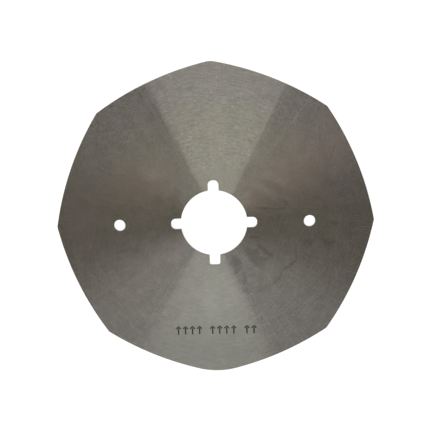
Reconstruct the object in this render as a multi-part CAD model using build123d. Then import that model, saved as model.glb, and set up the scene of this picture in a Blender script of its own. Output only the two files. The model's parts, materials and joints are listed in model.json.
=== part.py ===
# Octagonal cutter blade for a hand-held round-knife cloth cutter.
# One flat plate of hardened steel: eight bowed cutting sides, a bore with four driving
# notches, two pin holes, and a cutting edge ground from below only.
# Millimetres. The origin is the bore's centre on the underside, +Z goes up through the
# plain face that carries the orientation mark, and X runs through the two pin holes.

from build123d import *
import math
import os

# Plate and outline
thickness = 1.0
side_count = 8
corner_circle_d = 100.0     # through the points where neighbouring sides meet
side_bow_r = 95.0           # every side is one outward arc of this radius
sharp_corner_r = 1.0        # six corners keep their point
top_corner_r = 7.0          # the corner on +Y is slightly blunted
bottom_corner_r = 24.0      # the corner on -Y is the most worn

# Cutting edge
bevel_w = 2.7               # width of the ground band, seen from below
edge_land = 0.08            # height of the rim that is left at the top face

# Bore and driving notches
bore_d = 21.0
notch_count = 4
notch_w = 3.4
notch_reach = 13.6          # from the bore's centre to a notch's end
notch_end_r = 1.5           # three notches end almost full round
square_notch_end_r = 0.65   # the notch on -Y is squarer
notch_round_share = 0.45    # most of a notch's width that one end corner may take

# Pin holes
pin_pitch = 60.0
pin_hole_d = 3.6

# How far a cutting tool runs past the face that it leaves
run_out = 1.0


def at_angle(distance, degrees):
    """The point at a distance from the origin, in the plane of the underside."""
    turn = math.radians(degrees)
    return Vector(distance * math.cos(turn), distance * math.sin(turn), 0)


def corner_angle(corner):
    """Where a corner lies. Corner 0 is the top one, on +Y."""
    return 90 + corner * 360 / side_count


def blade_outline():
    """The plate seen from above, with its arcs and its blunted corners."""
    corner_r = corner_circle_d / 2
    sides = Curve()
    for corner in range(side_count):
        start = at_angle(corner_r, corner_angle(corner))
        end = at_angle(corner_r, corner_angle(corner + 1))
        sides += RadiusArc(start, end, -side_bow_r)
    outline = make_face(sides)
    lowest, *between, highest = outline.vertices().sort_by(Axis.Y)
    outline = fillet(between, sharp_corner_r)
    highest = outline.vertices().sort_by(Axis.Y)[-1]
    outline = fillet(highest, top_corner_r)
    lowest = outline.vertices().sort_by(Axis.Y)[0]
    return fillet(lowest, bottom_corner_r)


def bevel_grind(side):
    """The ring that the wheel takes off below one side, about that side's own centre."""
    half_turn = math.radians(180 / side_count)
    corner_r = corner_circle_d / 2
    half_chord = corner_r * math.sin(half_turn)
    centre_back = math.sqrt(side_bow_r**2 - half_chord**2) - corner_r * math.cos(half_turn)
    middle = (corner_angle(side) + corner_angle(side + 1)) / 2
    centre = at_angle(-centre_back, middle)
    slope = (thickness - edge_land) / bevel_w
    inner = side_bow_r - bevel_w - run_out
    outer = side_bow_r + run_out
    low = -run_out * slope
    high = thickness - edge_land + run_out * slope
    section = make_face(Polyline((inner, 0, low), (outer, 0, low), (outer, 0, high), close=True))
    return Pos(centre) * revolve(section, Axis.Z)


def driving_notch(end_r):
    """One notch, from the bore's centre out along +X, before it is turned to its place."""
    slot = Rectangle(notch_reach, notch_w, align=(Align.MIN, Align.CENTER))
    ends = slot.vertices().group_by(Axis.X)[-1]
    return fillet(ends, min(end_r, notch_w * notch_round_share))


def keyed_bore():
    """The bore and its notches as one opening. Notch 0 is the squarer one, on -Y."""
    opening = Circle(bore_d / 2)
    for notch in range(notch_count):
        end_r = square_notch_end_r if notch == 0 else notch_end_r
        opening += Rot(Z=-90 + notch * 360 / notch_count) * driving_notch(end_r)
    return opening


def pin_holes():
    """The two round holes beside the bore."""
    return GridLocations(pin_pitch, 0, 2, 1) * Circle(pin_hole_d / 2)


def blade():
    """The finished blade, one solid."""
    face = blade_outline() - keyed_bore() - pin_holes()
    plate = extrude(face, thickness)
    for side in range(side_count):
        plate -= bevel_grind(side)
    return plate


os.makedirs("parts", exist_ok=True)
export_step(blade(), "parts/blade.step")
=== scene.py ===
"""Octagonal cutter blade: looks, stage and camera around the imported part."""

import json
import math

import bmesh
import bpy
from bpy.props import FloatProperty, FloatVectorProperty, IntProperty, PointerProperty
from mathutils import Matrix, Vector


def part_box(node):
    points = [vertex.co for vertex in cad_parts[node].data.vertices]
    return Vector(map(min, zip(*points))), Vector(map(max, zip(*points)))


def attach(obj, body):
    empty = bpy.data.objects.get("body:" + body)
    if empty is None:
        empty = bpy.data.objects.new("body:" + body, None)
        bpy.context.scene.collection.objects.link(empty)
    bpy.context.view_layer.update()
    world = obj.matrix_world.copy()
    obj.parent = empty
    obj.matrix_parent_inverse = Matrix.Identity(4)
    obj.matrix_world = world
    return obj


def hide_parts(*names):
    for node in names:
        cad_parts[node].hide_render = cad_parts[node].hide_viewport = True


bl_info = {
    "name": "Octagonal cutter blade",
    "version": (1, 0, 0),
    "blender": (4, 5, 0),
    "location": "3D View > Sidebar > Cutter blade",
    "description": "Builds an eight-sided cloth cutter blade, its printed mark and a plain stage",
    "category": "Object",
}

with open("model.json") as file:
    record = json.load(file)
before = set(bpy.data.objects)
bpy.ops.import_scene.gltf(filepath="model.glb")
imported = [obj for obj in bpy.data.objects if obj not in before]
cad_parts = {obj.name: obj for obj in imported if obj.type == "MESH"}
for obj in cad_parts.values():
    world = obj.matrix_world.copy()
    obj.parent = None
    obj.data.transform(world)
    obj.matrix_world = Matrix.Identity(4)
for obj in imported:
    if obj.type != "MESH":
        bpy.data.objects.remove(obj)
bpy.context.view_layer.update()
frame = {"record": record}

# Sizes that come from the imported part
MM = 0.001
PLATE_NODE = "blade"
BODY = "root"
mounts = {mount["name"]: mount for mount in frame["record"]["mounts"]}
bore_radius = mounts["bore"]["dims"]["r_mm"] * MM
pin_pitch = mounts["pin_holes"]["dims"]["pcd_mm"] * MM
pin_radius = mounts["pin_holes"]["dims"]["hole_r_mm"] * MM
plate_low, plate_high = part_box(PLATE_NODE)
thickness = plate_high.z - plate_low.z
steel_tint = frame["record"]["materials"][0]["base_color"]


# Node wiring, shared by the geometry and shader trees
class Wire:
    """The value of one output socket, so that sums in a node tree are written as plain arithmetic."""

    def __init__(self, tree, socket):
        self.tree = tree
        self.socket = socket

    def __add__(self, other):
        return calculate(self.tree, "ADD", self, other)

    def __sub__(self, other):
        return calculate(self.tree, "SUBTRACT", self, other)

    def __mul__(self, other):
        return calculate(self.tree, "MULTIPLY", self, other)

    def __truediv__(self, other):
        return calculate(self.tree, "DIVIDE", self, other)

    def __rsub__(self, other):
        return calculate(self.tree, "SUBTRACT", other, self)

    def __rtruediv__(self, other):
        return calculate(self.tree, "DIVIDE", other, self)

    def __neg__(self):
        return calculate(self.tree, "MULTIPLY", self, -1.0)

    __radd__ = __add__
    __rmul__ = __mul__


def feed(tree, socket, value):
    """Links a wire to a socket, or sets the socket to a plain value."""
    if isinstance(value, Wire):
        tree.links.new(value.socket, socket)
    elif value is not None:
        socket.default_value = value


def add(tree, kind, inputs=None, output=0, **settings):
    """Adds a node with its settings and inputs, and returns the wire of one of its outputs."""
    node = tree.nodes.new(kind)
    for name, value in settings.items():
        setattr(node, name, value)
    for key, value in (inputs or {}).items():
        feed(tree, node.inputs[key], value)
    return Wire(tree, node.outputs[output])


def calculate(tree, operation, *values):
    """One Math node."""
    return add(tree, "ShaderNodeMath", dict(enumerate(values)), operation=operation)


def sine(wire):
    return calculate(wire.tree, "SINE", wire)


def cosine(wire):
    return calculate(wire.tree, "COSINE", wire)


def root(wire):
    return calculate(wire.tree, "SQRT", calculate(wire.tree, "MAXIMUM", wire, 0.0))


def size_of(wire):
    return calculate(wire.tree, "ABSOLUTE", wire)


def whole(wire):
    return calculate(wire.tree, "FLOOR", wire)


def same(wire, other, tolerance=0.25):
    """1 where both are equal, else 0."""
    return calculate(wire.tree, "COMPARE", wire, other, tolerance)


def over(wire, other):
    """1 where the wire is greater, else 0."""
    return calculate(wire.tree, "GREATER_THAN", wire, other)


def at_least(wire, other):
    return calculate(wire.tree, "MAXIMUM", wire, other)


def at_most(wire, other):
    return calculate(wire.tree, "MINIMUM", wire, other)


def share(wire):
    """The value held between 0 and 1."""
    return at_most(at_least(wire, 0.0), 1.0)


def ramp(wire, start, end):
    """0 at start, 1 at end, and smooth between."""
    inputs = {"Value": wire, "From Min": start, "From Max": end, "To Min": 0.0, "To Max": 1.0}
    return add(wire.tree, "ShaderNodeMapRange", inputs, interpolation_type="SMOOTHSTEP")


def choose(test, yes, no):
    """yes where the test is 1, and no where it is 0."""
    return no + test * (yes - no)


def vector(tree, x, y, z):
    return add(tree, "ShaderNodeCombineXYZ", {0: x, 1: y, 2: z})


def parts_of(wire):
    """The three components of a vector wire."""
    node = wire.tree.nodes.new("ShaderNodeSeparateXYZ")
    feed(wire.tree, node.inputs[0], wire)
    return [Wire(wire.tree, output) for output in node.outputs]


def vector_sum(tree, operation, *values):
    """One Vector Math node."""
    return add(tree, "ShaderNodeVectorMath", dict(enumerate(values)), operation=operation)


def scaled(wire, factor):
    return add(wire.tree, "ShaderNodeVectorMath", {0: wire, "Scale": factor}, operation="SCALE")


def new_group(name, kind, inputs, outputs):
    """A node group with named sockets, and the wires of its inputs by name."""
    tree = bpy.data.node_groups.new(name, kind)
    for label, socket_kind, default in inputs:
        socket = tree.interface.new_socket(label, in_out="INPUT", socket_type="NodeSocket" + socket_kind)
        if default is not None:
            socket.default_value = default
    for label, socket_kind in outputs:
        tree.interface.new_socket(label, in_out="OUTPUT", socket_type="NodeSocket" + socket_kind)
    entry = tree.nodes.new("NodeGroupInput")
    wires = {socket.name: Wire(tree, socket) for socket in entry.outputs if socket.name}
    return tree, wires


def numbers(*names):
    """Plain number inputs for a group."""
    return [(name, "Float", None) for name in names]


def close_group(tree, **results):
    """Feeds the group's outputs. A result's name is its socket's name with _ for a space."""
    leave = tree.nodes.new("NodeGroupOutput")
    for name, value in results.items():
        feed(tree, leave.inputs[name.replace("_", " ")], value)


def input_ids(group):
    """The identifiers of a group's inputs, by name."""
    return {item.name: item.identifier for item in group.interface.items_tree if item.in_out == "INPUT"}


def use_group(tree, group, values):
    """Places a group in a tree, and returns its outputs' wires by name."""
    kind = "GeometryNodeGroup" if tree.type == "GEOMETRY" else "ShaderNodeGroup"
    node = tree.nodes.new(kind)
    node.node_tree = group
    for name, value in values.items():
        feed(tree, node.inputs[name], value)
    return {socket.name: Wire(tree, socket) for socket in node.outputs}


# Sizes and colours that a user would change
def length(name, description, millimetres):
    """A setting that is a length."""
    return FloatProperty(name=name, description=description, default=millimetres * MM, unit="LENGTH")


class PlateSettings(bpy.types.PropertyGroup):
    """Shape of the eight-sided plate."""

    corner_radius: length("Corner radius", "From the bore's centre to where two sides meet", 50.0)
    side_radius: length("Side radius", "Radius of the outward bow of each side", 95.0)
    side_count: IntProperty(name="Sides", description="Cutting sides", default=8, min=3)
    sharp_corner: length("Sharp corner", "Rounding of the corners that keep their point", 1.0)
    top_corner: length("Top corner", "Rounding of the blunted corner on +Y", 7.0)
    bottom_corner: length("Bottom corner", "Rounding of the worn corner on -Y", 24.0)
    bevel_width: length("Bevel width", "Ground band on the underside", 2.7)
    rim_height: length("Rim height", "Rim that the bevel leaves at the top face", 0.08)
    hone_width: length("Hone width", "Narrow strip where the burr was taken off the top face", 0.14)
    hone_drop: length("Hone drop", "How far that strip falls to the rim", 0.03)
    notch_count: IntProperty(name="Notches", description="Driving notches round the bore", default=4)
    notch_width: length("Notch width", "Between a notch's sides", 3.4)
    notch_reach: length("Notch reach", "From the bore's centre to a notch's end", 13.6)
    notch_end: length("Notch end", "Corner radius at a notch's end", 1.5)
    square_notch_end: length("Square notch end", "Corner radius of the squarer notch on -Y", 0.65)
    edge_break: length("Edge break", "Chamfer round the bore and the pin holes", 0.06)


class MarkSettings(bpy.types.PropertyGroup):
    """The printed row of arrows that shows which way up the blade goes."""

    count: IntProperty(name="Arrows", description="Arrows in the row", default=10)
    group_size: IntProperty(name="Group size", description="Arrows before a wider gap", default=4)
    start: length("Start", "Middle of the first arrow, along X", -12.55)
    row: length("Row", "Middle of the row, along Y", -35.3)
    pitch: length("Pitch", "From one arrow to the next", 2.3)
    gap: length("Gap", "Extra room between two groups", 1.95)
    width: length("Width", "Width of an arrow", 1.95)
    height: length("Height", "Height of an arrow", 2.95)
    stroke: length("Stroke", "Width of a line", 0.44)
    ink_height: length("Ink height", "How far the ink stands proud", 0.012)


class FinishSettings(bpy.types.PropertyGroup):
    """Colours and grain of the steel and the ink."""

    steel: FloatVectorProperty(
        name="Steel", description="Colour of the ground faces", subtype="COLOR",
        default=steel_tint, min=0.0, max=1.0)
    bevel: FloatVectorProperty(
        name="Bevel", description="Colour of the freshly ground band", subtype="COLOR",
        default=(0.50, 0.49, 0.47), min=0.0, max=1.0)
    wall: FloatVectorProperty(
        name="Walls", description="Colour of the cut walls of the bore and holes", subtype="COLOR",
        default=(0.20, 0.195, 0.18), min=0.0, max=1.0)
    ink: FloatVectorProperty(
        name="Ink", description="Colour of the printed mark", subtype="COLOR",
        default=(0.045, 0.045, 0.040), min=0.0, max=1.0)
    roughness: FloatProperty(
        name="Roughness", description="Roughness of the ground steel", default=0.13, min=0.0, max=1.0)
    groove_slope: FloatProperty(
        name="Groove slope", description="How steep the grinding grooves are", default=1.95, min=0.0)
    groove_pitch: length("Groove pitch", "Distance between grinding grooves", 0.012)
    groove_swirl: length("Groove swirl", "How far the grooves' normals pass the bore's centre", 1.3)
    rings: FloatProperty(
        name="Rings", description="Strength of the longer rings of tone", default=0.21, min=0.0)
    dashes: FloatProperty(
        name="Dashes", description="Strength of the short dashes of tone", default=0.17, min=0.0)
    # Painted glints: stronger dashes where the wide panel's reflection falls on +Y
    coarse_glints: FloatProperty(
        name="Coarse glint patch", description="How much stronger the dashes are in the coarser patch on +Y",
        default=2.6, min=0.0)
    clouds: FloatProperty(
        name="Clouds", description="Strength of the soft uneven tone", default=0.2, min=0.0)
    # The pits' brightness is a painted glint
    pit_glints: FloatProperty(
        name="Pit glints", description="How much brighter the small scattered pits are", default=0.7, min=0.0)
    edge_shade: FloatProperty(
        name="Edge shade", description="How much darker the steel is beside its edges",
        default=0.04, min=0.0, max=1.0)
    smudges: FloatProperty(
        name="Smudges", description="Strength of the smudges and scratches", default=1.0, min=0.0)
    # Scales the tarnish tints and also the painted highlights and painted shade at the bright fans
    tarnish_and_painted_light: FloatProperty(
        name="Tarnish and painted light", description="Strength of the warm and cool tints", default=1.0, min=0.0)


class StageSettings(bpy.types.PropertyGroup):
    """Camera, lights and floor."""

    camera_place: FloatVectorProperty(
        name="Camera", description="Where the camera stands", subtype="TRANSLATION", unit="LENGTH",
        default=(2.070 * MM, 36.495 * MM, 193.475 * MM))
    camera_aim: FloatVectorProperty(
        name="Aim", description="Point of the top face that the camera looks at", subtype="TRANSLATION",
        unit="LENGTH", default=(-5.922 * MM, 2.694 * MM, 1.0 * MM))
    camera_lens: FloatProperty(name="Lens", description="Focal length in millimetres", default=51.9)
    camera_roll: FloatProperty(
        name="Roll", description="Turn of the camera about its view", subtype="ANGLE",
        default=math.radians(-1.87))
    shift_across: FloatProperty(
        name="Shift across", description="Sideways shift of the picture, as a share of its width",
        default=0.0464)
    shift_up: FloatProperty(
        name="Shift up", description="Upward shift of the picture, as a share of its width",
        default=0.0005)
    world_level: FloatProperty(
        name="World level", description="Strength of the surroundings", default=1.0)
    floor_size: FloatProperty(
        name="Floor size", description="Side of the floor", default=3.0, unit="LENGTH")


# Geometry of the plate: columns of its skins along a side, round a notch's end corner, along half of
# the arc between two notches, and round a pin hole
SIDE_STEPS = 96
END_STEPS = 16
ARC_STEPS = 23
PIN_STEPS = 72
SKIN_ROWS = 4
BEVEL_SKIN = 1.0
WALL_SKIN = 2.0
WELD = 0.001 * MM
CREASE = math.radians(6.3)
# The plate's own lengths: inputs of its tree, and settings of the same names
PLATE_LENGTHS = (
    "Corner radius", "Side radius", "Sharp corner", "Top corner", "Bottom corner", "Bevel width",
    "Rim height", "Hone width", "Hone drop", "Notch width", "Notch reach", "Notch end",
    "Square notch end", "Edge break")


def skin_grid(tree, columns):
    """A grid whose vertices carry their column and row numbers as their place, and those two numbers."""
    mesh = add(tree, "GeometryNodeMeshGrid", {
        "Size X": columns, "Vertices X": columns + 1,
        "Size Y": SKIN_ROWS - 1.0, "Vertices Y": SKIN_ROWS})
    x, y, z = parts_of(add(tree, "GeometryNodeInputPosition"))
    column = calculate(tree, "ROUND", x + columns * 0.5)
    row = calculate(tree, "ROUND", y + (SKIN_ROWS - 1) / 2)
    return mesh, column, row


def by_row(row, values):
    """A value for each row of a skin."""
    total = 0.0
    for number, value in enumerate(values):
        total = same(row, number) * value + total
    return total


def outline_skin():
    """Group: the edge of the plate. Its rows are the hone strip's inner line, the rim's top and foot,
    and the bevel's foot on the underside."""
    tree, wire = new_group("Bowed outline", "GeometryNodeTree", [("Sides", "Int", None)] + numbers(
        "Corner radius", "Side radius", "Sharp corner", "Top corner", "Bottom corner", "Thickness",
        "Bevel width", "Rim height", "Hone width", "Hone drop"), [("Mesh", "Geometry")])
    sides = wire["Sides"]
    side_radius = wire["Side radius"]
    mesh, column, row = skin_grid(tree, sides * SIDE_STEPS)
    inset = by_row(row, [wire["Hone width"], 0.0, 0.0, wire["Bevel width"]])

    # Each side is an arc about a centre behind the bore
    half = math.pi / sides
    corner_across = wire["Corner radius"] * sine(half)
    corner_along = wire["Corner radius"] * cosine(half)
    back = root(side_radius * side_radius - corner_across * corner_across) - corner_along
    side = whole(column / SIDE_STEPS)
    progress = column / SIDE_STEPS - side
    eased = progress * progress * (3.0 - progress * 2.0)
    arc_radius = side_radius - inset
    back_sine = back * sine(half)
    back_cosine = back * cosine(half)
    mitre = root(arc_radius * arc_radius - back_sine * back_sine) - back_cosine
    half_sweep = calculate(tree, "ARCSINE", mitre * sine(half) / arc_radius)
    sweep = half_sweep * (eased * 2.0 - 1.0)
    along = arc_radius * cosine(sweep) - back
    across = arc_radius * sine(sweep)

    # The rounding takes over where the arc runs past its own tangent point
    corner = calculate(tree, "FLOORED_MODULO", side + over(progress, 0.5), sides)
    rounding = wire["Sharp corner"]
    rounding = choose(same(corner, 0.0), wire["Top corner"], rounding)
    rounding = choose(same(corner, sides / 2.0), wire["Bottom corner"], rounding)
    round_arc = side_radius - rounding
    centre = root(round_arc * round_arc - back_sine * back_sine) - back_cosine
    centre_along = centre * cosine(half)
    centre_across = centre * sine(half)
    off_along = along - centre_along
    off_across = size_of(across) - centre_across
    off = root(off_along * off_along + off_across * off_across)
    past = over((centre_along + back) * off_across - centre_across * off_along, 0.0)
    rounded = past * (1.0 - same(row, SKIN_ROWS - 1.0))
    pull = (rounding - inset) / off
    way = calculate(tree, "SIGN", across)
    along = choose(rounded, centre_along + off_along * pull, along)
    across = choose(rounded, (centre_across + off_across * pull) * way, across)

    # The rim's foot follows the bevel, which starts at each side's own arc
    from_centre = root((along + back) * (along + back) + across * across)
    slope = (wire["Thickness"] - wire["Rim height"]) / wire["Bevel width"]
    foot = wire["Thickness"] - wire["Rim height"] - slope * (side_radius - from_centre)
    height = by_row(row, [wire["Thickness"], wire["Thickness"] - wire["Hone drop"], foot, 0.0])
    turn = math.pi / 2 + (side * 2.0 + 1.0) * half
    x = along * cosine(turn) - across * sine(turn)
    y = along * sine(turn) + across * cosine(turn)
    placed = add(tree, "GeometryNodeSetPosition", {
        "Geometry": mesh, "Position": vector(tree, x, y, height)})
    close_group(tree, Mesh=placed)
    return tree


def broken_wall(row, broken, top):
    """How far each row of a cut wall lies back, and its height, with both edges broken."""
    back = by_row(row, [broken, 0.0, 0.0, broken])
    return back, by_row(row, [top, top - broken, broken, 0.0])


def bore_skin():
    """Group: the wall of the bore and its driving notches, with both edges broken."""
    tree, wire = new_group("Keyed bore", "GeometryNodeTree", [("Notches", "Int", None)] + numbers(
        "Bore radius", "Notch width", "Notch reach", "Notch end", "Square notch end", "Edge break",
        "Thickness"), [("Mesh", "Geometry")])
    half_steps = 1 + END_STEPS + 1 + ARC_STEPS
    mesh, column, row = skin_grid(tree, wire["Notches"] * (2 * half_steps))
    grown, height = broken_wall(row, wire["Edge break"], wire["Thickness"])
    radius = wire["Bore radius"] + grown
    half_width = wire["Notch width"] * 0.5 + grown
    reach = wire["Notch reach"] + grown

    # From a notch's middle outwards: flat end, end corner, notch side, bore arc
    notch = calculate(tree, "FLOORED_MODULO", whole(column / (2 * half_steps)), wire["Notches"])
    step = calculate(tree, "FLOORED_MODULO", column, 2 * half_steps) - half_steps
    steps_out = size_of(step)
    end_radius = choose(same(notch, 0.0), wire["Square notch end"], wire["Notch end"]) + grown
    flat = share(steps_out)
    bend = share((steps_out - 1.0) / END_STEPS) * (math.pi / 2)
    down = share(steps_out - 1.0 - END_STEPS)
    mouth = root(radius * radius - half_width * half_width)
    mouth_turn = calculate(tree, "ARCSINE", half_width / radius)
    arc = share((steps_out - 2.0 - END_STEPS) / ARC_STEPS)
    bore_turn = mouth_turn + (math.pi / wire["Notches"] - mouth_turn) * arc
    along = reach - end_radius * (1.0 - cosine(bend)) - (reach - end_radius - mouth) * down
    along = along + radius * cosine(bore_turn) - mouth
    across = (half_width - end_radius) * flat + end_radius * sine(bend)
    across = (across + radius * sine(bore_turn) - half_width) * calculate(tree, "SIGN", step)
    turn = notch * (2 * math.pi / wire["Notches"]) - math.pi / 2
    x = along * cosine(turn) - across * sine(turn)
    y = along * sine(turn) + across * cosine(turn)
    placed = add(tree, "GeometryNodeSetPosition", {
        "Geometry": mesh, "Position": vector(tree, x, y, height)})
    close_group(tree, Mesh=placed)
    return tree


def pin_hole_skins():
    """Group: the walls of the two pin holes, one wall placed on both points."""
    tree, wire = new_group("Pin holes", "GeometryNodeTree", numbers(
        "Hole radius", "Pitch", "Edge break", "Thickness"), [("Mesh", "Geometry")])
    mesh, column, row = skin_grid(tree, PIN_STEPS)
    grown, height = broken_wall(row, wire["Edge break"], wire["Thickness"])
    radius = wire["Hole radius"] + grown
    turn = column * (2 * math.pi / PIN_STEPS)
    wall = add(tree, "GeometryNodeSetPosition", {
        "Geometry": mesh, "Position": vector(tree, radius * cosine(turn), radius * sine(turn), height)})
    points = add(tree, "GeometryNodeMeshLine", {
        "Count": 2, "Start Location": vector(tree, wire["Pitch"] * -0.5, 0.0, 0.0),
        "Offset": vector(tree, wire["Pitch"], 0.0, 0.0)})
    both = add(tree, "GeometryNodeInstanceOnPoints", {"Points": points, "Instance": wall})
    close_group(tree, Mesh=add(tree, "GeometryNodeRealizeInstances", {"Geometry": both}))
    return tree


def plate_tree():
    """The whole plate: three skins, and the two faces filled between their open edges."""
    tree, wire = new_group(
        "Cutter plate", "GeometryNodeTree",
        [("Geometry", "Geometry", None)]
        + numbers(*PLATE_LENGTHS, "Thickness", "Bore radius", "Hole radius", "Pitch")
        + [("Sides", "Int", 8), ("Notches", "Int", 4)]
        + [(name, "Material", None) for name in ("Ground faces", "Bevel", "Cut walls")],
        [("Geometry", "Geometry")])

    def skin(group, finish):
        mesh = use_group(tree, group, {name: wire[name] for name in input_ids(group)})["Mesh"]
        return add(tree, "GeometryNodeStoreNamedAttribute", {
            "Geometry": mesh, "Name": "finish", "Value": finish},
            data_type="FLOAT", domain="FACE")

    skins = tree.nodes.new("GeometryNodeJoinGeometry")
    for group, finish in (
        (pin_hole_skins(), WALL_SKIN), (bore_skin(), WALL_SKIN), (outline_skin(), BEVEL_SKIN)):
        feed(tree, skins.inputs[0], skin(group, finish))
    closed = add(tree, "GeometryNodeMergeByDistance", {
        "Geometry": Wire(tree, skins.outputs[0]), "Distance": WELD})

    # Open edges are those with one face
    faces_beside = add(tree, "GeometryNodeInputMeshEdgeNeighbors")
    z = parts_of(add(tree, "GeometryNodeInputPosition"))[2]
    high = over(z, wire["Thickness"] * 0.5)
    whole_plate = tree.nodes.new("GeometryNodeJoinGeometry")
    for level, height in ((high, wire["Thickness"]), (1.0 - high, 0.0)):
        loops = add(tree, "GeometryNodeMeshToCurve", {
            "Mesh": closed, "Selection": same(faces_beside, 1.0) * level})
        face = add(tree, "GeometryNodeFillCurve", {"Curve": loops}, mode="TRIANGLES")
        lifted = add(tree, "GeometryNodeSetPosition", {
            "Geometry": face, "Offset": vector(tree, 0.0, 0.0, height)})
        feed(tree, whole_plate.inputs[0], lifted)
    feed(tree, whole_plate.inputs[0], closed)
    sealed = add(tree, "GeometryNodeMergeByDistance", {
        "Geometry": Wire(tree, whole_plate.outputs[0]), "Distance": WELD})
    smooth = add(tree, "GeometryNodeSetShadeSmooth", {"Geometry": sealed, "Shade Smooth": True})
    fold = over(add(tree, "GeometryNodeInputMeshEdgeAngle"), CREASE)
    creased = add(tree, "GeometryNodeSetShadeSmooth", {
        "Geometry": smooth, "Selection": fold, "Shade Smooth": False}, domain="EDGE")
    result = add(tree, "GeometryNodeSetMaterial", {"Geometry": creased, "Material": wire["Ground faces"]})
    finish = add(tree, "GeometryNodeInputNamedAttribute", {"Name": "finish"}, data_type="FLOAT")
    for number, name in ((BEVEL_SKIN, "Bevel"), (WALL_SKIN, "Cut walls")):
        result = add(tree, "GeometryNodeSetMaterial", {
            "Geometry": result, "Selection": same(finish, number), "Material": wire[name]})
    close_group(tree, Geometry=result)
    return tree


# The mark's drawing, in strokes: how far the widened tip reaches above its line, and how far below it
# the bar starts, where its corners just meet the chevron
TIP_REACH = 0.7
BAR_DROP = 1.2
# How near the arrow's middle a point counts as its tip, and how far the ink reaches into the steel
MIDDLE_TOLERANCE = 0.01 * MM
INK_SUNK = 0.005 * MM


def mark_tree():
    """A row of arrows, each a chevron over a bar, in groups with a wider gap between them."""
    tree, wire = new_group(
        "Arrow row", "GeometryNodeTree",
        [("Geometry", "Geometry", None), ("Count", "Int", 10), ("Group size", "Int", 4)]
        + numbers("Start", "Row", "Level", "Pitch", "Gap", "Width", "Height", "Stroke", "Ink depth")
        + [("Ink", "Material", None)],
        [("Geometry", "Geometry")])
    stroke = wire["Stroke"]
    half_width = (wire["Width"] - stroke) * 0.5
    x, y, z = parts_of(add(tree, "GeometryNodeInputPosition"))

    # The chevron falls 1 for 1 from its tip, which is widened so that the strokes keep their width
    line = add(tree, "GeometryNodeMeshLine", {
        "Count": 3, "Start Location": vector(tree, -half_width, 0.0, 0.0),
        "Offset": vector(tree, half_width, 0.0, 0.0)})
    tip = wire["Height"] * 0.5 - stroke * TIP_REACH
    bent = add(tree, "GeometryNodeSetPosition", {
        "Geometry": line, "Position": vector(tree, x, tip - size_of(x), 0.0)})
    path = add(tree, "GeometryNodeMeshToCurve", {"Mesh": bent})
    thickened = add(tree, "GeometryNodeSetCurveRadius", {
        "Curve": path, "Radius": 1.0 + same(x, 0.0, MIDDLE_TOLERANCE) * (math.sqrt(2) - 1)})
    section = add(tree, "GeometryNodeCurvePrimitiveQuadrilateral", {
        "Width": stroke, "Height": wire["Ink depth"]})
    chevron = add(tree, "GeometryNodeCurveToMesh", {
        "Curve": thickened, "Profile Curve": section, "Fill Caps": True})

    bar_top = tip - stroke * BAR_DROP
    bar_foot = wire["Height"] * -0.5
    bar = add(tree, "GeometryNodeMeshCube", {
        "Size": vector(tree, stroke, bar_top - bar_foot, wire["Ink depth"])})
    bar = add(tree, "GeometryNodeTransform", {
        "Geometry": bar, "Translation": vector(tree, 0.0, (bar_top + bar_foot) * 0.5, 0.0)})
    arrow = tree.nodes.new("GeometryNodeJoinGeometry")
    feed(tree, arrow.inputs[0], bar)
    feed(tree, arrow.inputs[0], chevron)

    index = add(tree, "GeometryNodeInputIndex")
    places = add(tree, "GeometryNodeMeshLine", {"Count": wire["Count"]})
    along = wire["Start"] + index * wire["Pitch"] + whole(index / wire["Group size"]) * wire["Gap"]
    spread = add(tree, "GeometryNodeSetPosition", {
        "Geometry": places, "Position": vector(tree, along, wire["Row"], wire["Level"])})
    arrows = add(tree, "GeometryNodeInstanceOnPoints", {
        "Points": spread, "Instance": Wire(tree, arrow.outputs[0])})
    real = add(tree, "GeometryNodeRealizeInstances", {"Geometry": arrows})
    printed = add(tree, "GeometryNodeSetMaterial", {"Geometry": real, "Material": wire["Ink"]})
    close_group(tree, Geometry=printed)
    return tree


def grown_piece(name, tree, values):
    """Runs a geometry tree with these inputs, and keeps the result as a plain mesh."""
    piece = bpy.data.objects.new(name, bpy.data.meshes.new(name))
    bpy.context.scene.collection.objects.link(piece)
    modifier = piece.modifiers.new("Shape", "NODES")
    modifier.node_group = tree
    ids = input_ids(tree)
    for label, value in values.items():
        modifier[ids[label]] = value
    bpy.context.view_layer.update()
    evaluated = piece.evaluated_get(bpy.context.evaluated_depsgraph_get())
    mesh = bpy.data.meshes.new_from_object(evaluated)
    piece.modifiers.remove(modifier)
    piece.data = mesh
    mesh.name = name
    while mesh.materials and mesh.materials[0] is None:
        mesh.materials.pop(index=0)
    shape = bmesh.new()
    shape.from_mesh(mesh)
    bmesh.ops.recalc_face_normals(shape, faces=shape.faces)
    shape.to_mesh(mesh)
    shape.free()
    return piece


# The least distance from the bore's centre, in millimetres, so that nothing is divided by 0
LEAST_RADIUS = 0.01
# The grinding marks: features to a radian round the bore, and features to a millimetre outwards
GROOVES_ROUND = 50.0
RINGS_ROUND = 8.0
RINGS_OUT = 2.2
DASHES_ROUND = 21.0
DASHES_OUT = 1.9
CLOUDS_ACROSS = 0.22
# The pits, in millimetres, and the share of the cells that hold one. Their brightness is a painted glint
PIT_SPACING = 2.3
PIT_RADIUS = 0.17
PIT_SHARE = 0.2
PIT_CALM = 0.2
DASH_ROUGHNESS = 0.15
# The coarser patch on +Y, where the wide panel's reflection falls and its stronger grain and brighter
# pits are painted glints, is a sector between two slanting lines that meet near the bore, and the rest of
# that half is calmer. Distances are in millimetres
COARSE_GLINT_SHIFT = 1.3
COARSE_GLINT_SLANT = math.radians(26)
COARSE_GLINT_SIDE = 1.5
COARSE_GLINT_START = (8.0, 22.0)
CALM_START = (-4.0, 10.0)
CALM_LOSS = 0.7
EDGE_SHADE_WIDTH = 0.8
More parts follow.
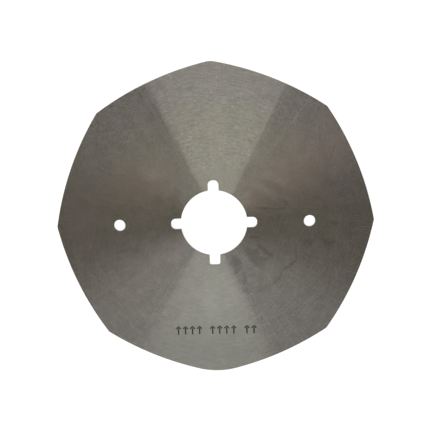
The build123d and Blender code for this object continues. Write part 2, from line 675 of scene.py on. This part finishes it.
# The steel is brighter towards the bore and darker towards the outline: the distances between which
# that grows, and by how much
BORE_GLEAM = (33.0, 23.0, 0.035)
OUTER_SHADE = (31.0, 48.0, 0.09)
# The bevel's grooves are finer than the faces'
BEVEL_SLOPE_SHARE = 0.5
# Punched walls and printed ink: fineness of their pattern, its share of that upwards, how much it changes
# the colour, how metallic they are, their roughness, and how much the pattern changes that
WALL_GRAIN = (6.0, 0.1, 0.5, 1.0, 0.38, 0.2)
INK_GRAIN = (1.6, 1.0, 0.8, 0.0, 0.55, 0.2)


def scaled_colour(tree, colour, tone):
    """A plain colour multiplied by a tone."""
    return vector_sum(tree, "MULTIPLY", tuple(colour), vector(tree, tone, tone, tone))


def place_in_mm(tree):
    """The place on the piece, in millimetres."""
    return scaled(add(tree, "ShaderNodeTexCoord", output="Object"), 1 / MM)


def polar(tree, swirl):
    """The place on the plate in millimetres, its distance from the bore's centre, and the way across
    the grooves, which passes the centre at the swirl's distance."""
    x, y, z = parts_of(place_in_mm(tree))
    radius = at_least(root(x * x + y * y), LEAST_RADIUS)
    lean = swirl / radius
    outward = vector(tree, (x - y * lean) / radius, (y + x * lean) / radius, 0.0)
    return x, y, radius, outward


def noise(tree, at, scale, detail=2.0):
    """Smooth noise about 0."""
    value = add(tree, "ShaderNodeTexNoise", {"Vector": at, "Scale": scale, "Detail": detail})
    return value - 0.5


def around(outward, count, steps):
    """A place for noise round the bore: about count features to a radian, and steps outwards."""
    tree = outward.tree
    return vector_sum(tree, "ADD", scaled(outward, count), vector(tree, 0.0, 0.0, steps))


def pit_mask(x, y, spacing, radius, kept):
    """1 in small round pits, one to each cell of the spacing and only in the share of cells kept."""
    tree = x.tree
    cells = tree.nodes.new("ShaderNodeTexVoronoi")
    cells.voronoi_dimensions = "2D"
    cells.inputs["Scale"].default_value = 1.0
    feed(tree, cells.inputs["Vector"], vector(tree, x / spacing, y / spacing, 0.0))
    off = Wire(tree, cells.outputs["Distance"]) * spacing
    lot = parts_of(Wire(tree, cells.outputs["Color"]))[0]
    return ramp(off, radius, radius * 0.5) * over(lot, 1.0 - kept)


def grinding_group():
    """Circular grinding: grooves that tilt the surface in and out, rings and dashes of tone, and pits,
    with painted glints: stronger grain and brighter pits where the wide panel's reflection falls on +Y.
    """
    tree, wire = new_group("Circular grinding", "ShaderNodeTree", [
        ("Groove pitch", "Float", 0.012), ("Groove slope", "Float", 2.0), ("Groove swirl", "Float", 1.3),
        ("Rings", "Float", 0.25), ("Dashes", "Float", 0.2), ("Coarse glint patch", "Float", 2.0),
        ("Clouds", "Float", 0.3), ("Pit glints", "Float", 0.3)],
        [("Normal", "Vector"), ("Tone", "Float"), ("Roughness", "Float")])
    x, y, radius, outward = polar(tree, wire["Groove swirl"])
    groove = noise(tree, around(outward, GROOVES_ROUND, radius / wire["Groove pitch"]), 1.0, 0.0)
    facing = add(tree, "ShaderNodeNewGeometry", output="Normal")
    tilt = scaled(outward, groove * wire["Groove slope"])
    normal = vector_sum(tree, "NORMALIZE", vector_sum(tree, "ADD", facing, tilt))
    rings = noise(tree, around(outward, RINGS_ROUND, radius * RINGS_OUT), 1.0)
    dashes = noise(tree, around(outward, DASHES_ROUND, radius * DASHES_OUT), 1.0)
    pit_glints = pit_mask(x, y, PIT_SPACING, PIT_RADIUS, PIT_SHARE)
    clouds = noise(tree, vector(tree, x, y, 0.0), CLOUDS_ACROSS)
    # Painted glints: grain and pits are stronger in the patch where the wide panel's reflection falls,
    # and calmer on the rest of +Y
    patch = ramp(y, *COARSE_GLINT_START)
    for side in (-1.0, 1.0):
        inward = (x - COARSE_GLINT_SHIFT) * (side * math.cos(COARSE_GLINT_SLANT)) + y * math.sin(COARSE_GLINT_SLANT)
        patch = patch * ramp(inward, -COARSE_GLINT_SIDE, COARSE_GLINT_SIDE)
    calm = 1.0 - ramp(y, *CALM_START) * CALM_LOSS
    tone = 1.0 + rings * (calm + patch) * wire["Rings"]
    tone = tone + dashes * (calm + patch * wire["Coarse glint patch"]) * wire["Dashes"]
    tone = tone + pit_glints * (calm * PIT_CALM + patch) * wire["Pit glints"]
    tone = tone + clouds * wire["Clouds"]
    close_group(tree, Normal=normal, Tone=tone, Roughness=1.0 + dashes * DASH_ROUGHNESS)
    return tree


def edge_mask(x, y, radius, plate):
    """1 at the outline, the bore, its notches and the pin holes, fading to 0 a little inside."""
    tree = x.tree
    half = math.pi / plate.side_count
    side_radius = plate.side_radius / MM
    corner = plate.corner_radius / MM
    back = math.sqrt(side_radius ** 2 - (corner * math.sin(half)) ** 2) - corner * math.cos(half)
    turn = calculate(tree, "ARCTAN2", y, x) - math.pi / 2
    side_turn = calculate(tree, "WRAP", turn - half, half, -half)
    along = radius * cosine(side_turn) + back
    across = radius * sine(side_turn)
    outline = side_radius - root(along * along + across * across)
    step = math.pi / plate.notch_count
    notch_turn = calculate(tree, "WRAP", turn, step, -step)
    beside = size_of(radius * sine(notch_turn)) - plate.notch_width / MM / 2
    beyond = radius * cosine(notch_turn) - plate.notch_reach / MM
    bore = at_most(radius - bore_radius / MM, at_least(beside, beyond))
    off = size_of(x) - pin_pitch / MM / 2
    pin = root(off * off + y * y) - pin_radius / MM
    return ramp(at_most(at_most(outline, bore), pin), EDGE_SHADE_WIDTH, 0.0)


# Smudges and scratches on the top face: middle along X and Y in millimetres, half length,
# half width, turn in degrees, and how much darker the steel is there
SMUDGES = (
    # The blotch below the bore
    (12.3, -11.5, 4.3, 1.4, -50, 0.23),
    (15.9, -9.3, 2.9, 0.8, -42, 0.20),
    (14.9, -12.2, 1.8, 1.0, 0, 0.20),
    (12.9, -9.6, 1.2, 1.0, 0, 0.20),
    # A darker strip beside the bright fan on -Y
    (4.2, -12.4, 1.2, 1.5, 0, 0.12),
    (6.5, -12.9, 2.3, 1.6, -60, 0.22),
    (6.8, -15.2, 1.6, 0.9, -95, 0.19),
    (9.3, -18.4, 1.9, 0.75, -90, 0.16),
    (11.4, -17.2, 0.8, 0.5, 20, 0.14),
    (9.7, -22.3, 1.2, 0.9, -60, 0.12),
    (14.5, -22.2, 1.5, 0.8, 0, 0.06),
    # The crooked scratch
    (25.7, -10.3, 1.8, 0.35, 90, 0.13),
    (24.6, -13.5, 1.6, 0.5, 43, 0.18),
    (22.3, -15.3, 1.5, 0.45, 33, 0.15),
    (21.0, -16.9, 1.0, 0.35, 80, 0.17),
    (20.4, -18.3, 1.2, 0.35, 55, 0.15),
    (19.2, -19.6, 1.0, 0.35, 40, 0.13),
    # The line from the notch on +X
    (15.8, 4.4, 1.9, 0.5, 0, 0.15),
    (18.8, 4.1, 1.6, 0.35, -12, 0.12),
    (21.4, 4.2, 1.3, 0.3, 15, 0.10),
    (22.9, 5.4, 0.9, 0.35, 60, 0.14),
    (22.5, 6.5, 0.8, 0.3, -40, 0.12),
    # Spots and wide faint ones
    (12.6, -4.9, 1.6, 0.5, 0, 0.18),
    (14.3, 8.3, 3.0, 1.8, -35, 0.07),
    (18.7, 11.2, 4.4, 1.3, -31, 0.07),
    (37.5, -0.9, 1.3, 0.7, -20, 0.11),
    (29.5, -7.2, 1.8, 1.3, 0, 0.10),
    (35.6, -7.4, 1.8, 1.6, 0, 0.11),
    (-17.0, 8.0, 2.6, 1.2, -30, 0.07),
    (-12.6, 7.5, 3.0, 2.0, 60, 0.11),
)
# Soft tints on the top face, placed as the smudges are, and how much redder, greener and bluer they are.
# The grey ones beside and along the bright fans are painted highlights and painted shade
TINTS = (
    (26.0, 14.0, 19.0, 8.0, 28, (0.045, -0.02, -0.01)),
    (-21.0, 12.5, 8.5, 7.5, 0, (0.05, -0.02, -0.01)),
    (-18.3, 17.5, 4.5, 3.2, 0, (0.08, 0.06, 0.06)),
    (26.0, -1.0, 16.0, 4.5, 0, (-0.06, -0.03, -0.06)),
    # Painted shade at both sides of the bright fan on +Y, and a painted highlight just inside its side on
    # -X
    (-17.0, 32.5, 9.0, 2.4, 117, (-0.072, -0.072, -0.062)),
    (-6.4, 20.0, 6.5, 2.2, 108, (0.05, 0.05, 0.05)),
    (7.9, 14.8, 4.5, 2.2, 62, (-0.045, -0.045, -0.045)),
    # A painted highlight along the fan on -Y, painted shade where it reaches the rim, and two lighter
    # patches at the rim
    (1.0, -25.0, 7.5, 6.5, 0, (0.06, 0.06, 0.06)),
    (3.0, -41.5, 13.0, 6.0, 0, (-0.04, -0.04, -0.04)),
    (41.5, 18.5, 10.0, 4.0, 115, (0.05, 0.05, 0.05)),
    (-43.0, 1.0, 10.0, 3.6, 90, (0.05, 0.05, 0.05)),
)
# A cooler rim and a warmer middle, both on +Y: distances from the bore's centre and places along Y
# between which each grows to its full strength, and its colour
BROAD_TINTS = (
    ((35.0, 42.0), (-15.0, 5.0), (0.0, 0.0, 0.035)),
    ((40.0, 33.0), (-4.0, 6.0), (0.0, 0.0, -0.045)),
)
SMUDGE_SOFTNESS = 0.5
TINT_SOFTNESS = 0.6
RAGGED_ACROSS = 0.9
SMUDGE_RAGGED = 1.6
TINT_RAGGED = 0.6


def soft_oval_group():
    """A soft-edged oval, 1 in its middle and 0 outside. Ragged moves its edge in and out."""
    tree, wire = new_group(
        "Soft oval", "ShaderNodeTree",
        numbers("X", "Y", "Middle X", "Middle Y", "Turn", "Ragged")
        + [(name, "Float", 1.0) for name in ("Half length", "Half width")] + [("Softness", "Float", 0.5)],
        [("Mask", "Float")])
    x = wire["X"] - wire["Middle X"]
    y = wire["Y"] - wire["Middle Y"]
    along = (x * cosine(wire["Turn"]) + y * sine(wire["Turn"])) / wire["Half length"]
    across = (y * cosine(wire["Turn"]) - x * sine(wire["Turn"])) / wire["Half width"]
    off = root(along * along + across * across) + wire["Ragged"]
    close_group(tree, Mask=ramp(off, 1.0 + wire["Softness"], 1.0 - wire["Softness"]))
    return tree


def face_stain_and_painted_light(x, y, radius, finish):
    """What smudges, scratches and tarnish leave of the steel's colour, together with painted highlights
    and painted shade at the bright fans. They are on the top face only.
    """
    tree = x.tree
    top = over(parts_of(place_in_mm(tree))[2], thickness / MM / 2)
    group = soft_oval_group()
    unevenness = noise(tree, vector(tree, x, y, 0.0), RAGGED_ACROSS)

    def mask(place, softness, ragged):
        middle_x, middle_y, half_length, half_width, turn = place
        return use_group(tree, group, {
            "X": x, "Y": y, "Middle X": middle_x, "Middle Y": middle_y,
            "Half length": half_length, "Half width": half_width, "Turn": math.radians(turn),
            "Softness": softness, "Ragged": unevenness * ragged})["Mask"]

    darkening = 0.0
    for *place, darkness in SMUDGES:
        darkening = at_least(mask(place, SMUDGE_SOFTNESS, SMUDGE_RAGGED) * darkness, darkening)
    tints = [(colour, ramp(radius, *across) * ramp(y, *along)) for across, along, colour in BROAD_TINTS]
    # The tints hold tarnish and also the painted highlights and painted shade at the bright fans
    for *place, colour in TINTS:
        tints.append((colour, mask(place, TINT_SOFTNESS, TINT_RAGGED)))
    tint = (0.0, 0.0, 0.0)
    for colour, amount in tints:
        tint = vector_sum(tree, "ADD", tint, scaled_colour(tree, colour, amount))
    tint = vector_sum(tree, "ADD", scaled(tint, top * finish.tarnish_and_painted_light), (1.0, 1.0, 1.0))
    return scaled(tint, 1.0 - darkening * top * finish.smudges)


def blend(wire, other, test):
    """other where the test is 1, the wire where it is 0, and a mixture between."""
    kept = scaled(wire, 1.0 - test)
    return vector_sum(wire.tree, "ADD", kept, scaled_colour(wire.tree, other, test))


def new_material(name):
    material = bpy.data.materials.new(name)
    material.use_nodes = True
    shader = material.node_tree.nodes["Principled BSDF"]
    return material, material.node_tree, shader


def ground_material(name, finish, grinding, colour, slope, stain_and_painted_light=None):
    """Steel with circular grinding. The optional function of the place makes a colour to multiply by,
    holding stains and tarnish together with painted highlights and painted shade.
    """
    material, tree, shader = new_material(name)
    x, y, radius, outward = polar(tree, finish.groove_swirl / MM)
    ground = use_group(tree, grinding, {
        "Groove pitch": finish.groove_pitch / MM, "Groove slope": slope,
        "Groove swirl": finish.groove_swirl / MM, "Rings": finish.rings, "Dashes": finish.dashes,
        "Coarse glint patch": finish.coarse_glints, "Clouds": finish.clouds, "Pit glints": finish.pit_glints})
    steel = scaled_colour(tree, colour, ground["Tone"])
    if stain_and_painted_light:
        steel = vector_sum(tree, "MULTIPLY", steel, stain_and_painted_light(x, y, radius))
    feed(tree, shader.inputs["Base Color"], steel)
    shader.inputs["Metallic"].default_value = 1.0
    feed(tree, shader.inputs["Roughness"], ground["Roughness"] * finish.roughness)
    feed(tree, shader.inputs["Normal"], ground["Normal"])
    shader.inputs["Anisotropic"].default_value = 1.0
    feed(tree, shader.inputs["Tangent"], outward)
    return material


def grained_material(name, colour, grain):
    """A material with one fine pattern in its colour and roughness."""
    material, tree, shader = new_material(name)
    fineness, upwards, contrast, metallic, roughness, spread = grain
    x, y, z = parts_of(place_in_mm(tree))
    pattern = noise(tree, vector(tree, x, y, z * upwards), fineness)
    feed(tree, shader.inputs["Base Color"], scaled_colour(tree, colour, 1.0 + pattern * contrast))
    feed(tree, shader.inputs["Metallic"], metallic)
    feed(tree, shader.inputs["Roughness"], roughness + pattern * spread)
    return material


class CUTTER_OT_plate(bpy.types.Operator):
    """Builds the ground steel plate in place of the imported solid"""

    bl_idname = "cutter.plate"
    bl_label = "Build the plate"

    def execute(self, context):
        plate = context.scene.cutter_plate
        finish = context.scene.cutter_finish
        grinding = grinding_group()

        # The top face's colour: smudges, scratches, tarnish and darker steel beside the edges, with
        # painted light: a painted highlight towards the bore, painted shade towards the outline, and
        # painted highlights and shade at the bright fans
        def stain_and_painted_light(x, y, radius):
            edge = edge_mask(x, y, radius, plate) * finish.edge_shade
            gleam = ramp(radius, *BORE_GLEAM[:2]) * BORE_GLEAM[2]
            outer = ramp(radius, *OUTER_SHADE[:2]) * OUTER_SHADE[2]
            return scaled(face_stain_and_painted_light(x, y, radius, finish), 1.0 + gleam - outer - edge)

        face = ground_material(
            "ground_face", finish, grinding, finish.steel, finish.groove_slope, stain_and_painted_light)
        bevel = ground_material(
            "ground_bevel", finish, grinding, finish.bevel, finish.groove_slope * BEVEL_SLOPE_SHARE)
        wall = grained_material("cut_steel", finish.wall, WALL_GRAIN)
        lengths = {name: getattr(plate, name.lower().replace(" ", "_")) for name in PLATE_LENGTHS}
        piece = grown_piece("blade_plate", plate_tree(), {
            **lengths, "Thickness": thickness, "Bore radius": bore_radius,
            "Hole radius": pin_radius, "Pitch": pin_pitch,
            "Sides": plate.side_count, "Notches": plate.notch_count,
            "Ground faces": face, "Bevel": bevel, "Cut walls": wall})
        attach(piece, BODY)
        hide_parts(PLATE_NODE)
        return {"FINISHED"}


class CUTTER_OT_mark(bpy.types.Operator):
    """Prints the row of arrows that shows which face goes up"""

    bl_idname = "cutter.mark"
    bl_label = "Print the mark"

    def execute(self, context):
        mark = context.scene.cutter_mark
        ink = grained_material("mark_ink", context.scene.cutter_finish.ink, INK_GRAIN)
        piece = grown_piece("orientation_mark", mark_tree(), {
            "Count": mark.count, "Group size": mark.group_size, "Start": mark.start, "Row": mark.row,
            "Level": thickness + (mark.ink_height - INK_SUNK) / 2, "Pitch": mark.pitch, "Gap": mark.gap,
            "Width": mark.width, "Height": mark.height, "Stroke": mark.stroke,
            "Ink depth": mark.ink_height + INK_SUNK, "Ink": ink})
        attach(piece, BODY)
        return {"FINISHED"}


# Panels with straight sides: the azimuth in degrees that each side faces, how far it leans out
# and how soft it is, as shares of the distance, and the panel's colour
PANELS = {
    "wide panel on +Y": ((205.4, 0.084, 0.002), (332.9, 0.082, 0.004), (0.555, 0.55, 0.515)),
    "narrow panel on -Y": ((154.9, -0.065, 0.118), (21.6, -0.085, 0.036), (0.29, 0.345, 0.305)),
}
# Glows with no clear sides: middle, half width and softness in degrees, and colour
GLOWS = {
    "broad glow on -Y": (268.6, 48.0, 13.5, (0.335, 0.405, 0.465)),
    "warm glow on +X": (18.0, 7.0, 14.0, (0.31, 0.205, 0.165)),
    "warm glow on -X": (176.0, 6.0, 26.0, (0.30, 0.295, 0.24)),
}
# All of them are weaker low down: the heights in degrees between which they weaken, and by what share
LOW_LIGHT = (70.0, 20.0, 0.4)
# The room behind them, and the heights in degrees between which ceiling and horizon take over
WALLS = (0.16, 0.12, 0.07)
CEILING = (1.13, 1.09, 0.98)
CEILING_EDGE = (79.2, 80.9)
HORIZON = (0.95, 0.95, 0.95)
HORIZON_EDGE = (16.0, 4.0)
FLOOR_GLOW = 0.97
FLOOR_SURFACE = (0.25, 0.25, 0.25, 1.0)
FLOOR_GAP = 0.05 * MM


def floor_material():
    """White to the camera and in reflections, with a little plain surface that keeps the shadow."""
    material, tree, shader = new_material("floor_white")
    tree.nodes.remove(shader)
    path = tree.nodes.new("ShaderNodeLightPath")
    seen = at_least(at_least(
        Wire(tree, path.outputs["Is Camera Ray"]), Wire(tree, path.outputs["Is Glossy Ray"])),
        Wire(tree, path.outputs["Is Transmission Ray"]))
    glow = add(tree, "ShaderNodeEmission", {"Color": (1.0, 1.0, 1.0, 1.0), "Strength": seen * FLOOR_GLOW})
    surface = add(tree, "ShaderNodeBsdfDiffuse", {"Color": FLOOR_SURFACE})
    both = add(tree, "ShaderNodeAddShader", {0: glow, 1: surface})
    feed(tree, tree.nodes["Material Output"].inputs["Surface"], both)
    return material


def inside(direction, azimuth, lean, softness):
    """1 on the near side of a leaning straight edge that faces an azimuth, and 0 beyond it."""
    x, y, z = parts_of(direction)
    turn = math.radians(azimuth)
    return ramp(x * math.cos(turn) + y * math.sin(turn), lean + softness, lean - softness)


def glow_mask(direction, middle, half_width, softness):
    """1 in a band of azimuths, fading to 0 at both sides. Angles are in degrees."""
    x, y, z = parts_of(direction)
    turned = calculate(direction.tree, "ARCTAN2", y, x) - math.radians(middle)
    off = size_of(calculate(direction.tree, "WRAP", turned, math.pi, -math.pi))
    return ramp(off, math.radians(half_width + softness), math.radians(half_width - softness))


def world_light(stage):
    """A round room of soft panels and glows, under a bright round ceiling and over a pale horizon."""
    world = bpy.data.worlds.new("studio")
    bpy.context.scene.world = world
    world.use_nodes = True
    tree = world.node_tree
    direction = add(tree, "ShaderNodeTexCoord", output="Generated")
    height = calculate(tree, "ARCSINE", parts_of(direction)[2]) * math.degrees(1.0)
    panels = (0.0, 0.0, 0.0)
    for first, second, colour in PANELS.values():
        mask = inside(direction, *first) * inside(direction, *second)
        panels = vector_sum(tree, "ADD", panels, scaled_colour(tree, colour, mask))
    for middle, half_width, softness, colour in GLOWS.values():
        mask = glow_mask(direction, middle, half_width, softness)
        panels = vector_sum(tree, "ADD", panels, scaled_colour(tree, colour, mask))
    high_edge, low_edge, loss = LOW_LIGHT
    light = vector_sum(tree, "ADD", scaled(panels, 1.0 - ramp(height, high_edge, low_edge) * loss), WALLS)
    light = blend(light, CEILING, ramp(height, *CEILING_EDGE))
    light = blend(light, HORIZON, ramp(height, *HORIZON_EDGE))
    feed(tree, tree.nodes["Background"].inputs["Color"], light)
    tree.nodes["Background"].inputs["Strength"].default_value = stage.world_level


class CUTTER_OT_stage(bpy.types.Operator):
    """Adds the floor, the lights and the camera"""

    bl_idname = "cutter.stage"
    bl_label = "Set the stage"

    def execute(self, context):
        stage = context.scene.cutter_stage
        mesh = bpy.data.meshes.new("floor")
        half = stage.floor_size / 2
        low = plate_low.z - FLOOR_GAP
        corners = [(-half, -half, low), (half, -half, low), (half, half, low), (-half, half, low)]
        mesh.from_pydata(corners, [], [(0, 1, 2, 3)])
        mesh.materials.append(floor_material())
        floor = bpy.data.objects.new("floor", mesh)
        context.scene.collection.objects.link(floor)

        world_light(stage)
        place = Vector(stage.camera_place)
        look = (Vector(stage.camera_aim) - place).normalized()
        right = look.cross(Vector((0, 1, 0))).normalized()
        up = right.cross(look)
        turned = Matrix((right, up, -look)).transposed() @ Matrix.Rotation(stage.camera_roll, 3, "Z")
        lens = bpy.data.cameras.new("camera")
        lens.lens = stage.camera_lens
        lens.shift_x = stage.shift_across
        lens.shift_y = stage.shift_up
        lens.clip_start = 0.01
        camera = bpy.data.objects.new("camera", lens)
        camera.matrix_world = Matrix.Translation(place) @ turned.to_4x4()
        context.scene.collection.objects.link(camera)
        context.scene.camera = camera
        context.scene.view_settings.view_transform = "Standard"
        return {"FINISHED"}


class CUTTER_PT_blade(bpy.types.Panel):
    """Sizes, colours and builders of the cutter blade"""

    bl_label = "Cutter blade"
    bl_space_type = "VIEW_3D"
    bl_region_type = "UI"
    bl_category = "Cutter blade"

    def draw(self, context):
        for name, build in (
            ("cutter_plate", "cutter.plate"), ("cutter_mark", "cutter.mark"),
            ("cutter_finish", None), ("cutter_stage", "cutter.stage"),
        ):
            settings = getattr(context.scene, name)
            box = self.layout.box()
            for field in settings.__annotations__:
                box.prop(settings, field)
            if build:
                box.operator(build)


SETTINGS = {
    "cutter_plate": PlateSettings, "cutter_mark": MarkSettings,
    "cutter_finish": FinishSettings, "cutter_stage": StageSettings}
CLASSES = (*SETTINGS.values(), CUTTER_OT_plate, CUTTER_OT_mark, CUTTER_OT_stage, CUTTER_PT_blade)


def register():
    for each in CLASSES:
        bpy.utils.register_class(each)
    for name, settings in SETTINGS.items():
        setattr(bpy.types.Scene, name, PointerProperty(type=settings))


def unregister():
    for name in SETTINGS:
        delattr(bpy.types.Scene, name)
    for each in reversed(CLASSES):
        bpy.utils.unregister_class(each)


def main():
    register()
    bpy.ops.cutter.plate()
    bpy.ops.cutter.mark()
    bpy.ops.cutter.stage()


if __name__ == "__main__":
    main()
